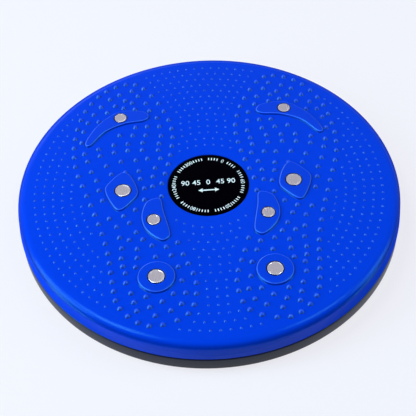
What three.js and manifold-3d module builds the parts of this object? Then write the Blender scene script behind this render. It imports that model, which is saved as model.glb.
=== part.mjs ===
// Waist twisting disc: a round foot plate with massage nubs and magnets turns on a ball race over a ribbed base.
// Millimetres, +Z up. The origin is on the floor under the pivot, +Y points towards the toes,
// and the two feet mirror each other across X = 0.

import * as THREE from 'three';
import Module from 'manifold-3d';
import { mergeGeometries, mergeVertices } from 'three/addons/utils/BufferGeometryUtils.js';

const wasm = await Module();
wasm.setup();

// Heights of the stack, from the floor up
const footStandoff = 1.6;
const rimHeight = 9.4;
const skirtGap = 0.5;
const skirtHeight = 10.9;
const shoulderRise = 1.4;

// Foot plate
const plateRadius = 125;
const plateWall = 2.6;
const skirtWall = 2.4;
const skirtDraft = 1;
const shoulderRun = 6.6;
const plateRibWall = 2;
const plateRibDepth = 4.4;
const plateRibCount = 8;
const innerRingCount = 2;

// Massage nubs
const nubRadius = 1.9;
const nubHeight = 1.5;

// Raised pads round the magnets
const padHeight = 1.4;
const padBevel = 0.6;

// Magnets
const smallMagnetRadius = 4.4;
const largeMagnetRadius = 5.3;
const magnetHeight = 2.6;
const magnetChamfer = 0.4;
const magnetSideGap = 0.45;

// Centre label; its radius is a share of the plate's
const labelRadiusShare = 0.2112;
const labelThickness = 0.9;
const labelSideGap = 0.35;

// Ball race and cage; the race's radius is a share of the plate's
const raceRadiusShare = 0.64;
const raceRibWidth = 9;
const raceRibHeight = 5;
const raceDepth = 1.9;
const raceFloorWall = 2;
const ballRadius = 3;
const ballPlay = 0.2;
const ballCount = 18;
const cageThickness = 1.3;
const cageWidth = 12;
const cagePocketPlay = 0.35;

// Pivot; the head's and the nut's hexagon is a share of the bolt's diameter
const boltRadius = 3;
const hexFlatsShare = 5 / 3;
const boltHeadHeight = 4;
const boltPlay = 0.15;
const washerRadius = 9;
const washerThickness = 1.2;
const bushWall = 1.5;
const bushFlangeRadius = 7.5;
const bushFlangeThickness = 1;
const bushPlay = 0.15;
const bushOverhang = 0.2;
const nutHeight = 5;
const nutSideGap = 0.3;
const nutRecess = 0.6;
const wellClearance = 2;
const hubWall = 2.4;
const hubWebThickness = 2.6;
const hubPlay = 0.5;
const hubSideClearance = 1;

// Base plate
const rimInset = 0.2;
const rimWall = 2.4;
const deckWall = 2.4;
const lipWall = 2.4;
const lipClearance = 1.4;
const baseRibWall = 2;
const baseRibCount = 12;
const baseRibRecess = 0.8;
const nutBossWall = 3;

// Rubber feet; the inset is from the base's lip to a foot's middle
const footCount = 6;
const footRadius = 8;
const footInset = 16.8;
const footRecessDepth = 1.6;
const footChamfer = 0.6;
const footSideGap = 0.3;
const footBossWall = 2;

// Shared allowances: the gap between faces that seat on each other, and the overrun of cuts and joints
const seatGap = 0.2;
const overrun = 0.5;

// Facets
const discSegments = 48;
const ringSegments = 24;
const labelSegments = 32;
const smallSegments = 16;
const boreSegments = 12;
const nubSegments = 5;
const pocketSegments = 8;
const arcSteps = 4;
const padStepsPerKnot = 2;
const hexSides = 6;

// Nub rows of the right foot, as shares of the plate's radius: each row is a smooth curve through its
// knots, and its nubs are spread evenly from the first knot to the last
const nubRowShares = [
  { nubs: 52, knots: [
    [0.242, 0.029], [0.19, 0.228], [0.175, 0.426], [0.243, 0.631], [0.37, 0.797], [0.535, 0.755],
    [0.652, 0.602], [0.704, 0.391], [0.698, 0.185], [0.634, -0.024], [0.571, -0.22], [0.524, -0.411],
    [0.503, -0.586], [0.466, -0.744], [0.33, -0.852], [0.145, -0.798], [0.098, -0.624], [0.153, -0.446],
  ] },
  { nubs: 25, knots: [
    [0.291, 0.012], [0.288, 0.08], [0.274, 0.142], [0.244, 0.208], [0.254, 0.27], [0.248, 0.319],
    [0.236, 0.376], [0.243, 0.449], [0.254, 0.517], [0.294, 0.577], [0.313, 0.639], [0.356, 0.701],
    [0.39, 0.745], [0.461, 0.719], [0.514, 0.687], [0.565, 0.631], [0.604, 0.571], [0.637, 0.51],
    [0.658, 0.443], [0.668, 0.36], [0.651, 0.276], [0.634, 0.218], [0.612, 0.14], [0.584, 0.077],
    [0.571, 0.007],
  ] },
  { nubs: 11, knots: [
    [0.517, -0.189], [0.48, -0.245], [0.465, -0.316], [0.455, -0.384], [0.457, -0.447], [0.451, -0.497],
    [0.438, -0.539], [0.437, -0.597], [0.413, -0.66], [0.399, -0.713], [0.386, -0.764],
  ] },
  { nubs: 8, knots: [
    [0.3, -0.797], [0.226, -0.774], [0.174, -0.739], [0.151, -0.678], [0.167, -0.605], [0.18, -0.521],
    [0.211, -0.448], [0.234, -0.393],
  ] },
  { nubs: 5, knots: [[0.39, 0.649], [0.429, 0.67], [0.486, 0.632], [0.53, 0.582], [0.577, 0.514]] },
  { nubs: 2, knots: [[0.375, 0.595], [0.438, 0.609]] },
  { nubs: 2, knots: [[0.31, 0.454], [0.374, 0.452]] },
  { nubs: 3, knots: [[0.318, 0.388], [0.461, 0.398]] },
  { nubs: 4, knots: [[0.337, 0.332], [0.417, 0.33], [0.494, 0.327], [0.576, 0.303]] },
  { nubs: 4, knots: [[0.34, 0.277], [0.418, 0.28], [0.492, 0.272], [0.567, 0.253]] },
  { nubs: 4, knots: [[0.313, 0.212], [0.375, 0.206], [0.455, 0.202], [0.533, 0.177]] },
  { nubs: 3, knots: [[0.361, 0.126], [0.506, 0.115]] },
  { nubs: 2, knots: [[0.354, 0.07], [0.334, 0.002]] },
  { nubs: 4, knots: [[0.247, -0.061], [0.336, -0.076], [0.383, -0.14], [0.444, -0.177]] },
  { nubs: 4, knots: [[0.414, -0.226], [0.381, -0.288], [0.349, -0.337], [0.305, -0.379]] },
  { nubs: 4, knots: [[0.416, -0.335], [0.378, -0.395], [0.379, -0.45], [0.388, -0.507]] },
  { nubs: 3, knots: [[0.211, -0.678], [0.265, -0.719], [0.341, -0.686]] },
  { nubs: 1, knots: [[0.552, -0.064]] },
  { nubs: 1, knots: [[0.177, -0.37]] },
  { nubs: 1, knots: [[0.289, -0.451]] },
  { nubs: 1, knots: [[0.325, -0.747]] },
];

// Pads of the right foot: the outline's knots and the magnet's centre, as shares of the plate's radius
const crescentKnotShares = [
  [0.299, 0.526], [0.334, 0.568], [0.46, 0.576], [0.558, 0.506], [0.619, 0.418], [0.647, 0.342],
  [0.617, 0.332], [0.541, 0.424], [0.436, 0.479], [0.328, 0.496],
];
const kiteKnotShares = [
  [0.445, 0.117], [0.505, 0.065], [0.538, -0.003], [0.492, -0.12], [0.456, -0.139], [0.407, -0.096],
  [0.368, -0.029], [0.4, 0.079],
];
const beanKnotShares = [
  [0.251, -0.088], [0.24, -0.167], [0.213, -0.3], [0.222, -0.342], [0.263, -0.351], [0.329, -0.285],
  [0.352, -0.201], [0.331, -0.11], [0.285, -0.078],
];
const roundPadRadiusShare = 0.091;
const padShares = [
  { knots: crescentKnotShares, magnet: [0.454, 0.524], radius: smallMagnetRadius },
  { knots: kiteKnotShares, magnet: [0.445, -0.012], radius: largeMagnetRadius },
  { knots: beanKnotShares, magnet: [0.291, -0.221], radius: smallMagnetRadius },
  { circle: roundPadRadiusShare, magnet: [0.288, -0.576], radius: largeMagnetRadius },
];

// Worked out from the driving dimensions
const rimBottomZ = footStandoff;
const rimTopZ = rimBottomZ + rimHeight;
const skirtBottomZ = rimTopZ + skirtGap;
const creaseZ = skirtBottomZ + skirtHeight;
const faceZ = creaseZ + shoulderRise;
const underZ = faceZ - plateWall;
const padZ = faceZ + padHeight;
const upperRaceZ = underZ - raceRibHeight;
const ballZ = upperRaceZ + raceDepth - ballPlay - ballRadius;
const deckZ = ballZ - ballRadius - ballPlay + raceDepth;
const deckUnderZ = deckZ - deckWall;
const ribBottomZ = rimBottomZ + baseRibRecess;

const creaseRadius = plateRadius - skirtDraft;
const flatRadius = creaseRadius - shoulderRun;
const shoulderRadius = (shoulderRun ** 2 + shoulderRise ** 2) / (2 * shoulderRise);
const shoulderAngle = Math.asin(shoulderRun / shoulderRadius);
const innerShoulderAngle = Math.asin((shoulderRun - skirtWall) / (shoulderRadius - plateWall));
const raceRadius = raceRadiusShare * plateRadius;
const raceInnerRadius = raceRadius - raceRibWidth / 2;
const raceOuterRadius = raceRadius + raceRibWidth / 2;
const skirtInnerRadius = plateRadius - skirtWall;
const rimRadius = plateRadius - rimInset;
const rimInnerRadius = rimRadius - rimWall;
const lipRadius = skirtInnerRadius - lipClearance;
const lipInnerRadius = lipRadius - lipWall;
const footCircleRadius = lipInnerRadius - footInset;
const footBossRadius = footRadius + footSideGap + footBossWall;

const hexFlats = hexFlatsShare * 2 * boltRadius;
const wellRadius = washerRadius + wellClearance;
const hubRadius = wellRadius + hubWall;
const labelRadius = labelRadiusShare * plateRadius;
const labelPocketRadius = labelRadius + labelSideGap;
const labelPocketZ = faceZ - labelThickness - seatGap;
const headTopZ = labelPocketZ - seatGap;
const headBottomZ = headTopZ - boltHeadHeight;
const washerZ = headBottomZ - seatGap - washerThickness;
const flangeZ = washerZ - seatGap - bushFlangeThickness;
const hubWebTopZ = flangeZ - seatGap;
const hubWebZ = hubWebTopZ - hubWebThickness;
const bushBottomZ = hubWebZ - bushOverhang;
const bushInnerRadius = boltRadius + boltPlay;
const bushRadius = bushInnerRadius + bushWall;
const hubRecessRadius = hubRadius + hubSideClearance;
const hubRecessZ = hubWebZ - hubPlay;
const nutBottomZ = ribBottomZ + nutRecess;
const nutPocketZ = nutBottomZ + nutHeight + seatGap;
const nutPocketFlats = hexFlats + 2 * nutSideGap;
const nutBossRadius = hexRadius(nutPocketFlats) + nutBossWall;

// The circle through a hexagon's corners, from the width across its flats
function hexRadius(flats) {
  return flats / Math.sqrt(3);
}

// The circle through a polygon's corners that clears a circle inside it
function clearingRadius(radius, sides) {
  return radius / Math.cos(Math.PI / sides);
}

// Turns a closed three.js geometry into a solid: shared vertices merged, collapsed triangles dropped
function solid(geometry) {
  const bare = geometry.clone();
  bare.deleteAttribute('normal');
  bare.deleteAttribute('uv');
  const merged = mergeVertices(bare);
  const index = merged.index.array;
  const triangles = [];
  for (let i = 0; i < index.length; i += 3) {
    const [a, b, c] = [index[i], index[i + 1], index[i + 2]];
    if (a !== b && b !== c && c !== a) triangles.push(a, b, c);
  }
  const vertProperties = new Float32Array(merged.attributes.position.array);
  const triVerts = new Uint32Array(triangles);
  return new wasm.Manifold(new wasm.Mesh({ numProp: 3, vertProperties, triVerts }));
}

// A named mesh from a finished solid
function piece(name, made, material) {
  const { vertProperties, triVerts } = made.getMesh();
  const geometry = new THREE.BufferGeometry();
  geometry.setAttribute('position', new THREE.BufferAttribute(new Float32Array(vertProperties), 3));
  geometry.setIndex(new THREE.BufferAttribute(new Uint32Array(triVerts), 1));
  geometry.computeVertexNormals();
  const mesh = new THREE.Mesh(geometry, material);
  mesh.name = name;
  return mesh;
}

// Revolves a profile of [radius, height] points about Z; it runs outwards along the bottom and back along the top
function revolve(profile, segments) {
  const points = profile.map(([r, z]) => new THREE.Vector2(r, z));
  return solid(new THREE.LatheGeometry(points, segments).rotateX(Math.PI / 2));
}

// A ring or a full disc between two heights
function ring(inner, outer, bottom, top, segments) {
  const profile = [[inner, bottom], [outer, bottom], [outer, top], [inner, top]];
  if (inner > 0) profile.push([inner, bottom]);
  return revolve(profile, segments);
}

function disc(radius, bottom, top, segments) {
  return ring(0, radius, bottom, top, segments);
}

// A hexagonal prism with its flats that far apart
function hexPrism(flats, bottom, top) {
  return disc(hexRadius(flats), bottom, top, hexSides);
}

// Points on an arc about a centre, with the angle counted from straight up towards the rim
function arc(centreRadius, centreZ, radius, fromAngle, toAngle, steps) {
  return Array.from({ length: steps + 1 }, (_, i) => {
    const angle = THREE.MathUtils.lerp(fromAngle, toAngle, i / steps);
    return [centreRadius + radius * Math.sin(angle), centreZ + radius * Math.cos(angle)];
  });
}

// The race groove's floor and mouth half-widths: a flat floor and two 45 degree sides, all clear of the ball
const grooveFloorHalf = (ballRadius + ballPlay) * Math.tan(Math.PI / 8);
const grooveMouthHalf = grooveFloorHalf + raceDepth;

// A groove's four points, inside to outside; the depth is negative where the groove opens upwards
function groove(mouthZ, depth) {
  return [
    [raceRadius - grooveMouthHalf, mouthZ],
    [raceRadius - grooveFloorHalf, mouthZ + depth],
    [raceRadius + grooveFloorHalf, mouthZ + depth],
    [raceRadius + grooveMouthHalf, mouthZ],
  ];
}

// Radial ribs between two radii, spread evenly round the pivot
function radialRibs(count, wall, inner, outer, bottom, top) {
  return Array.from({ length: count }, (_, i) => {
    const rib = new THREE.BoxGeometry(outer - inner, wall, top - bottom);
    rib.translate((inner + outer) / 2, 0, (bottom + top) / 2);
    rib.rotateZ((i * 2 * Math.PI) / count);
    return solid(rib);
  });
}

// Ring ribs spread evenly across the gap between two walls
function ringRibs(count, wall, inner, outer, bottom, top) {
  const space = (outer - inner - count * wall) / (count + 1);
  return Array.from({ length: count }, (_, i) => {
    const start = inner + space + i * (space + wall);
    return ring(start, start + wall, bottom, top, ringSegments);
  });
}

function joined(first, others) {
  return others.reduce((sum, other) => sum.add(other), first);
}

function cut(first, others) {
  return others.reduce((left, other) => left.subtract(other), first);
}

// A share pair of the plate's radius as a place on the right foot (side 1) or the left foot (side -1)
function placed([x, y], side) {
  return new THREE.Vector3(side * x * plateRadius, y * plateRadius, 0);
}

// Where the nubs of one row stand
function rowPlaces(row, side) {
  const knots = row.knots.map((knot) => placed(knot, side));
  if (row.nubs === 1) return knots;
  const curve = new THREE.CatmullRomCurve3(knots, false, 'catmullrom');
  return Array.from({ length: row.nubs }, (_, i) => curve.getPoint(i / (row.nubs - 1)));
}

// All nubs of both feet, as one solid of separate low domes whose roots are sunk in the plate
function nubs() {
  const dome = new THREE.LatheGeometry(
    [
      new THREE.Vector2(0, -overrun),
      new THREE.Vector2(nubRadius, -overrun),
      new THREE.Vector2(nubRadius, 0),
      new THREE.Vector2(0, nubHeight),
    ],
    nubSegments,
  ).rotateX(Math.PI / 2);
  const places = [1, -1].flatMap((side) => nubRowShares.flatMap((row) => rowPlaces(row, side)));
  return solid(mergeGeometries(places.map((at) => dome.clone().translate(at.x, at.y, faceZ))));
}

// A pad's outline, pulled in by its bevel so that the finished pad has the outline's size
function padShape(pad, side) {
  if (pad.circle) {
    const centre = placed(pad.magnet, side);
    const shape = new THREE.Shape();
    shape.absarc(centre.x, centre.y, pad.circle * plateRadius, 0, 2 * Math.PI, false);
    return new THREE.Shape(shape.getPoints(ringSegments / 2).slice(1));
  }
  const curve = new THREE.CatmullRomCurve3(pad.knots.map((knot) => placed(knot, side)), true, 'catmullrom');
  const points = curve.getPoints(pad.knots.length * padStepsPerKnot).slice(1);
  return new THREE.Shape(points.map((at) => new THREE.Vector2(at.x, at.y)));
}

// A raised pad with a bevelled top edge, sunk in the plate by more than its hidden lower bevel
function raisedPad(pad, side) {
  const body = new THREE.ExtrudeGeometry(padShape(pad, side), {
    depth: overrun + padHeight - padBevel,
    bevelThickness: padBevel,
    bevelSize: padBevel,
    bevelOffset: -padBevel,
    bevelSegments: 1,
    steps: 1,
  });
  return solid(body.translate(0, 0, faceZ - overrun));
}

const magnetFloorZ = padZ - magnetHeight - seatGap;

function magnetWell(pad, side) {
  const centre = placed(pad.magnet, side);
  const well = disc(pad.radius + magnetSideGap, magnetFloorZ, padZ + overrun, smallSegments);
  return well.translate([centre.x, centre.y, 0]);
}

// The foot plate's shell: flat face, rolled shoulder, drafted skirt and the upper race on its underside
function plateShell() {
  const centreZ = faceZ - shoulderRadius;
  return revolve(
    [
      [0, underZ],
      [raceInnerRadius, underZ],
      [raceInnerRadius, upperRaceZ],
      ...groove(upperRaceZ, raceDepth),
      [raceOuterRadius, upperRaceZ],
      [raceOuterRadius, underZ],
      ...arc(flatRadius, centreZ, shoulderRadius - plateWall, 0, innerShoulderAngle, arcSteps / 2),
      [skirtInnerRadius, skirtBottomZ],
      [plateRadius, skirtBottomZ],
      ...arc(flatRadius, centreZ, shoulderRadius, shoulderAngle, 0, arcSteps),
      [0, faceZ],
    ],
    discSegments,
  );
}

// Stiffening under the foot plate: ring ribs and radial ribs on both sides of the upper race
function plateRibs() {
  const bottom = underZ - plateRibDepth;
  const top = underZ + overrun;
  return [
    ...ringRibs(innerRingCount, plateRibWall, hubRadius, raceInnerRadius, bottom, top),
    ...ringRibs(1, plateRibWall, raceOuterRadius, flatRadius, bottom, top),
    ...radialRibs(plateRibCount, plateRibWall, hubRadius - overrun, raceInnerRadius + overrun, bottom, top),
    ...radialRibs(plateRibCount, plateRibWall, raceOuterRadius - overrun, flatRadius, bottom, top),
  ];
}

function topPlate() {
  const pads = [1, -1].flatMap((side) => padShares.map((pad) => raisedPad(pad, side)));
  const wells = [1, -1].flatMap((side) => padShares.map((pad) => magnetWell(pad, side)));
  const hub = disc(hubRadius, hubWebZ, underZ + overrun, ringSegments);
  const built = joined(plateShell(), [...plateRibs(), hub, nubs(), ...pads]);
  return cut(built, [
    ...wells,
    disc(labelPocketRadius, labelPocketZ, faceZ + nubHeight + overrun, labelSegments),
    disc(wellRadius, hubWebTopZ, faceZ, ringSegments),
    disc(clearingRadius(bushRadius + bushPlay, boreSegments), hubWebZ - overrun, faceZ, boreSegments),
  ]);
}

// The base's shell: rim, ledge, lip inside the skirt, deck with the lower race, and a recess for the hub
function baseShell() {
  const ledgeUnderZ = rimTopZ - deckWall;
  const raceUnderZ = deckZ - raceDepth - raceFloorWall;
  return revolve(
    [
      [0, deckUnderZ],
      [raceInnerRadius, deckUnderZ],
      [raceInnerRadius, raceUnderZ],
      [raceOuterRadius, raceUnderZ],
      [raceOuterRadius, deckUnderZ],
      [lipInnerRadius, deckUnderZ],
      [lipInnerRadius, ledgeUnderZ],
      [rimInnerRadius, ledgeUnderZ],
      [rimInnerRadius, rimBottomZ],
      [rimRadius, rimBottomZ],
      [rimRadius, rimTopZ],
      [lipRadius, rimTopZ],
      [lipRadius, deckZ],
      ...groove(deckZ, -raceDepth).reverse(),
      [0, deckZ],
    ],
    discSegments,
  );
}

function baseRibs() {
  const top = deckUnderZ + overrun;
  const outer = lipInnerRadius + overrun;
  return [
    ...ringRibs(innerRingCount, baseRibWall, nutBossRadius, raceInnerRadius, ribBottomZ, top),
    ring(footCircleRadius - baseRibWall / 2, footCircleRadius + baseRibWall / 2, ribBottomZ, top, ringSegments),
    ...radialRibs(baseRibCount, baseRibWall, nutBossRadius - overrun, outer, ribBottomZ, top),
  ];
}

function footPlaces() {
  return Array.from({ length: footCount }, (_, i) => {
    const angle = (i * 2 * Math.PI) / footCount;
    return [footCircleRadius * Math.cos(angle), footCircleRadius * Math.sin(angle), 0];
  });
}

function basePlate() {
  const bosses = footPlaces().map((at) =>
    disc(footBossRadius, ribBottomZ, deckUnderZ + overrun, smallSegments).translate(at));
  const footWells = footPlaces().map((at) =>
    disc(footRadius + footSideGap, ribBottomZ - overrun, ribBottomZ + footRecessDepth, smallSegments).translate(at));
  const hubFloor = disc(hubRecessRadius + deckWall, hubRecessZ - deckWall, deckUnderZ + overrun, ringSegments);
  const nutBoss = disc(nutBossRadius, ribBottomZ, deckUnderZ + overrun, ringSegments);
  const built = joined(baseShell(), [...baseRibs(), hubFloor, nutBoss, ...bosses]);
  return cut(built, [
    ...footWells,
    disc(hubRecessRadius, hubRecessZ, deckZ + overrun, ringSegments),
    hexPrism(nutPocketFlats, ribBottomZ - overrun, nutPocketZ),
    disc(clearingRadius(boltRadius + boltPlay, boreSegments), ribBottomZ, deckZ, boreSegments),
  ]);
}

function labelDisc() {
  return disc(labelRadius, faceZ - labelThickness, faceZ, labelSegments);
}

function magnet(radius) {
  const top = magnetFloorZ + seatGap + magnetHeight;
  return revolve(
    [
      [0, magnetFloorZ + seatGap],
      [radius, magnetFloorZ + seatGap],
      [radius, top - magnetChamfer],
      [radius - magnetChamfer, top],
      [0, top],
    ],
    smallSegments,
  );
}

// Hex bolt, its head under the label and its tip flush with the nut's lower face
function pivotBolt() {
  const shank = disc(boltRadius, nutBottomZ, headBottomZ + overrun, boreSegments);
  return shank.add(hexPrism(hexFlats, headBottomZ, headTopZ));
}

function pivotWasher() {
  const bore = clearingRadius(boltRadius + boltPlay, smallSegments);
  return ring(bore, washerRadius, washerZ, washerZ + washerThickness, smallSegments);
}

function pivotBush() {
  const bore = clearingRadius(bushInnerRadius, boreSegments);
  return revolve(
    [
      [bore, bushBottomZ],
      [bushRadius, bushBottomZ],
      [bushRadius, flangeZ],
      [bushFlangeRadius, flangeZ],
      [bushFlangeRadius, flangeZ + bushFlangeThickness],
      [bore, flangeZ + bushFlangeThickness],
      [bore, bushBottomZ],
    ],
    boreSegments,
  );
}

function pivotNut() {
  const boreRadius = clearingRadius(boltRadius + boltPlay, boreSegments);
  const bore = disc(boreRadius, nutBottomZ - overrun, nutPocketZ, boreSegments);
  return hexPrism(hexFlats, nutBottomZ, nutBottomZ + nutHeight).subtract(bore);
}

function ballPlaces() {
  return Array.from({ length: ballCount }, (_, i) => {
    const angle = (i * 2 * Math.PI) / ballCount;
    return new THREE.Vector3(raceRadius * Math.cos(angle), raceRadius * Math.sin(angle), ballZ);
  });
}

// The flat cage: a ring at the balls' equator with one pocket for each ball
function ballCage() {
  const inner = raceRadius - cageWidth / 2;
  const outer = raceRadius + cageWidth / 2;
  const bottom = ballZ - cageThickness / 2;
  const top = ballZ + cageThickness / 2;
  const pocketRadius = clearingRadius(ballRadius + cagePocketPlay, pocketSegments);
  const pockets = ballPlaces().map((at) =>
    disc(pocketRadius, bottom - overrun, top + overrun, pocketSegments).translate([at.x, at.y, 0]));
  return cut(ring(inner, outer, bottom, top, discSegments), pockets);
}

// A rubber foot, chamfered where it meets the floor
function rubberFoot() {
  return revolve(
    [
      [0, 0],
      [footRadius - footChamfer, 0],
      [footRadius, footChamfer],
      [footRadius, ribBottomZ + footRecessDepth - seatGap],
      [0, ribBottomZ + footRecessDepth - seatGap],
    ],
    smallSegments,
  );
}

function plastic(color, roughness) {
  return new THREE.MeshStandardMaterial({ color, roughness, metalness: 0 });
}

function metal(color, roughness) {
  return new THREE.MeshStandardMaterial({ color, roughness, metalness: 1 });
}

const blueAbs = plastic(0x053ee6, 0.25);
const darkAbs = plastic(0x2d303c, 0.45);
const labelBlack = plastic(0x08080c, 0.3);
const whiteNylon = plastic(0xe8e6dc, 0.5);
const cageNylon = plastic(0xd8d4c4, 0.55);
const blackRubber = plastic(0x1a1a1c, 0.85);
const platedMagnet = metal(0xafa8a8, 0.3);
const zincSteel = metal(0xb4b6b8, 0.35);
const ballSteel = metal(0xd2d4d6, 0.12);

// The turning side: foot plate, label, magnets and bush
function turningSide() {
  const group = new THREE.Group();
  group.add(piece('top_plate', topPlate(), blueAbs));
  group.add(piece('label_disc', labelDisc(), labelBlack));
  for (const [side, word] of [[1, 'right'], [-1, 'left']]) {
    padShares.forEach((pad, i) => {
      const mesh = piece(`magnet_${i + 1}_${word}`, magnet(pad.radius), platedMagnet);
      mesh.position.copy(placed(pad.magnet, side));
      group.add(mesh);
    });
  }
  group.add(piece('pivot_bush', pivotBush(), whiteNylon));
  return group;
}

// The race: the cage and its balls
function ballRace() {
  const group = new THREE.Group();
  group.add(piece('ball_cage', ballCage(), cageNylon));
  const ball = solid(new THREE.IcosahedronGeometry(ballRadius, 1));
  ballPlaces().forEach((at, i) => {
    const mesh = piece(`ball_${String(i + 1).padStart(2, '0')}`, ball, ballSteel);
    mesh.position.copy(at);
    group.add(mesh);
  });
  return group;
}

// The standing side: base plate, pivot bolt, washer, nut and feet
function standingSide() {
  const group = new THREE.Group();
  group.add(piece('base_plate', basePlate(), darkAbs));
  group.add(piece('pivot_bolt', pivotBolt(), zincSteel));
  group.add(piece('pivot_washer', pivotWasher(), zincSteel));
  group.add(piece('pivot_nut', pivotNut(), zincSteel));
  footPlaces().forEach((at, i) => {
    const mesh = piece(`foot_${i + 1}`, rubberFoot(), blackRubber);
    mesh.position.set(...at);
    group.add(mesh);
  });
  return group;
}

const waistTwistingDisc = new THREE.Group();
waistTwistingDisc.name = 'waist_twisting_disc';
waistTwistingDisc.add(turningSide(), ballRace(), standingSide());

export default waistTwistingDisc;
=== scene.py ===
import math

import bpy
import numpy as np
from mathutils import Matrix, Vector
from mathutils.geometry import tessellate_polygon


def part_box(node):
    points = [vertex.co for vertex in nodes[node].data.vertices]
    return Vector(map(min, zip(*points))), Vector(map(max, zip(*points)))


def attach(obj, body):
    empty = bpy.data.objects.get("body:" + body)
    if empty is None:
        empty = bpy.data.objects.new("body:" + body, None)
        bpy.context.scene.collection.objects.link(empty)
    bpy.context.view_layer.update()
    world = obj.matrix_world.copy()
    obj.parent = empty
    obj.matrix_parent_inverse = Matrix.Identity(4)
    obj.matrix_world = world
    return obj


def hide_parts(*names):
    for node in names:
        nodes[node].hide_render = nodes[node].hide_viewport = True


MM = 0.001

# Heights of the stack, in millimetres from the floor
RIM_BOTTOM_Z = 1.6
RIB_BOTTOM_Z = 2.4
LEDGE_UNDER_Z = 8.6
RACE_UNDER_Z = 9.7
HUB_FLOOR_UNDER_Z = 10.2
RIM_TOP_Z = 11.0
DECK_UNDER_Z = 11.2
SKIRT_BOTTOM_Z = 11.5
HUB_RECESS_Z = 12.6
HUB_WEB_Z = 13.1
DECK_Z = 13.6
BALL_Z = 14.9
HUB_WEB_TOP_Z = 15.7
UPPER_RACE_Z = 16.2
PLATE_RIB_Z = 16.8
UNDER_Z = 21.2
LABEL_POCKET_Z = 22.7
FACE_Z = 23.8
PAD_Z = 25.2

# Radii of the foot plate, in millimetres
PLATE_RADIUS = 125.0
CREASE_RADIUS = 124.0
SKIRT_INNER_RADIUS = 122.6
INNER_SHOULDER_RADIUS = 121.6
FLAT_RADIUS = 117.4
SHOULDER_RADIUS = 8.6
SHOULDER_ANGLE = math.radians(44)
SHOULDER_END_Z = FACE_Z - SHOULDER_RADIUS * (1 - math.cos(SHOULDER_ANGLE))
LABEL_POCKET_RADIUS = 26.75
HUB_RADIUS = 13.4
WELL_RADIUS = 11.0
HUB_BORE_RADIUS = 4.97
PLATE_RING_RIBS = ((32.8, 34.8), (54.2, 56.2), (99.9, 101.9))
PLATE_RIB_COUNT = 8

# Radii of the ball race
RACE_RADIUS = 80.0
RACE_INNER_RADIUS = 75.5
RACE_OUTER_RADIUS = 84.5
GROOVE_RADIUS = 3.2
BALL_RADIUS = 3.0
BALL_COUNT = 18

# Radii of the base plate
RIM_RADIUS = 124.8
RIM_INNER_RADIUS = 122.4
LIP_RADIUS = 121.2
LIP_INNER_RADIUS = 118.8
HUB_FLOOR_RADIUS = 16.8
HUB_RECESS_RADIUS = 14.4
BOLT_BORE_RADIUS = 3.26
NUT_BOSS_RADIUS = 9.12
NUT_POCKET_HALF_FLATS = 5.3
NUT_POCKET_Z = 8.2
BASE_RING_RIBS = ((29.9, 31.9), (52.7, 54.7), (101.0, 103.0))
BASE_RIB_COUNT = 12

# Ribs of both plates: their wall, and how far they reach into what they grow from
RIB_WALL = 2.0
RIB_END_SINK = 0.5
PLATE_RIB_SINK = 0.4
BASE_RIB_SINK = 0.3

# Rubber feet and their wells
FOOT_COUNT = 6
FOOT_CIRCLE_RADIUS = 102.0
FOOT_RADIUS = 8.0
FOOT_TOP_Z = 3.8
FOOT_WELL_RADIUS = 8.3
FOOT_WELL_Z = 4.0
FOOT_BOSS_RADIUS = 10.3
FOOT_EDGE_INSET = 0.3
FOOT_EDGE_Z = 0.9

# Massage nubs: a cap on a hollow foot that runs out into the face
NUB_HEIGHT = 1.5
NUB_CAP_RADIUS = 1.62
NUB_FOOT_RADIUS = 0.27
NUB_FOOT_START = 0.12
NUB_SLOPE = math.radians(78)
NUB_TIP_TOLERANCE = 0.05

# Fine nubs: one ring after another, each with its own count. Where the last table says 0, the ring has a nub
# on the +Y axis; where it says 1, the middle of a gap.
FINE_NUB_HEIGHT = 0.65
FINE_NUB_RADIUS = 0.9
FINE_NUB_SINK = 0.03
FINE_NUB_RADIUS_SHARES = (1.0, 0.72, 0.38)
FINE_RING_START = 35.95
FINE_RING_PITCH = 5.91
FINE_RING_COUNTS = (38, 44, 50, 55, 60, 68, 75, 79, 88, 95, 100, 107, 113, 119)
FINE_RING_GAP_ON_AXIS = (0, 0, 1, 1, 1, 1, 0, 1, 0, 1, 0, 1, 0, 1)
FINE_NUB_CLEARANCE = 4.6

# Pads of the right foot: the outline's knots, as shares of the plate's radius
PAD_KNOT_SHARES = {
    1: [
        (0.299, 0.526), (0.334, 0.568), (0.46, 0.576), (0.558, 0.506), (0.619, 0.418),
        (0.647, 0.342), (0.617, 0.332), (0.541, 0.424), (0.436, 0.479), (0.328, 0.496),
    ],
    2: [
        (0.445, 0.117), (0.505, 0.065), (0.538, -0.003), (0.492, -0.12), (0.456, -0.139),
        (0.407, -0.096), (0.368, -0.029), (0.4, 0.079),
    ],
    3: [
        (0.251, -0.088), (0.24, -0.167), (0.213, -0.3), (0.222, -0.342), (0.263, -0.351),
        (0.329, -0.285), (0.352, -0.201), (0.331, -0.11), (0.285, -0.078),
    ],
}
ROUND_PAD_RADIUS_SHARE = 0.091

# Rings of a pad's side: how far each stands out from the outline, and its height from the face or the top
PAD_FOOT_RINGS = ((0.8, -0.05), (0.42, 0.04), (0.16, 0.2), (0, 0.45))
PAD_EDGE_RINGS = ((0, -0.7), (-0.13, -0.33), (-0.4, -0.09), (-0.8, 0))

# Magnets, their wells and the dark rings of painted shade in the gaps round them
MAGNET_UNDER_Z = 22.6
MAGNET_SIDE_GAP = 0.5
MAGNET_FACE_SINK = 0.12
WELL_EDGE_INSET = 0.12
WELL_EDGE_DEPTH = 0.15
WELL_WALL_SINK = 0.2
GAP_SHADE_INNER_OVERLAP = 0.35
GAP_SHADE_OUTER_OVERLAP = 0.05
GAP_SHADE_DROP = 0.04
GAP_SHADE_SAG = 0.3

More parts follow.
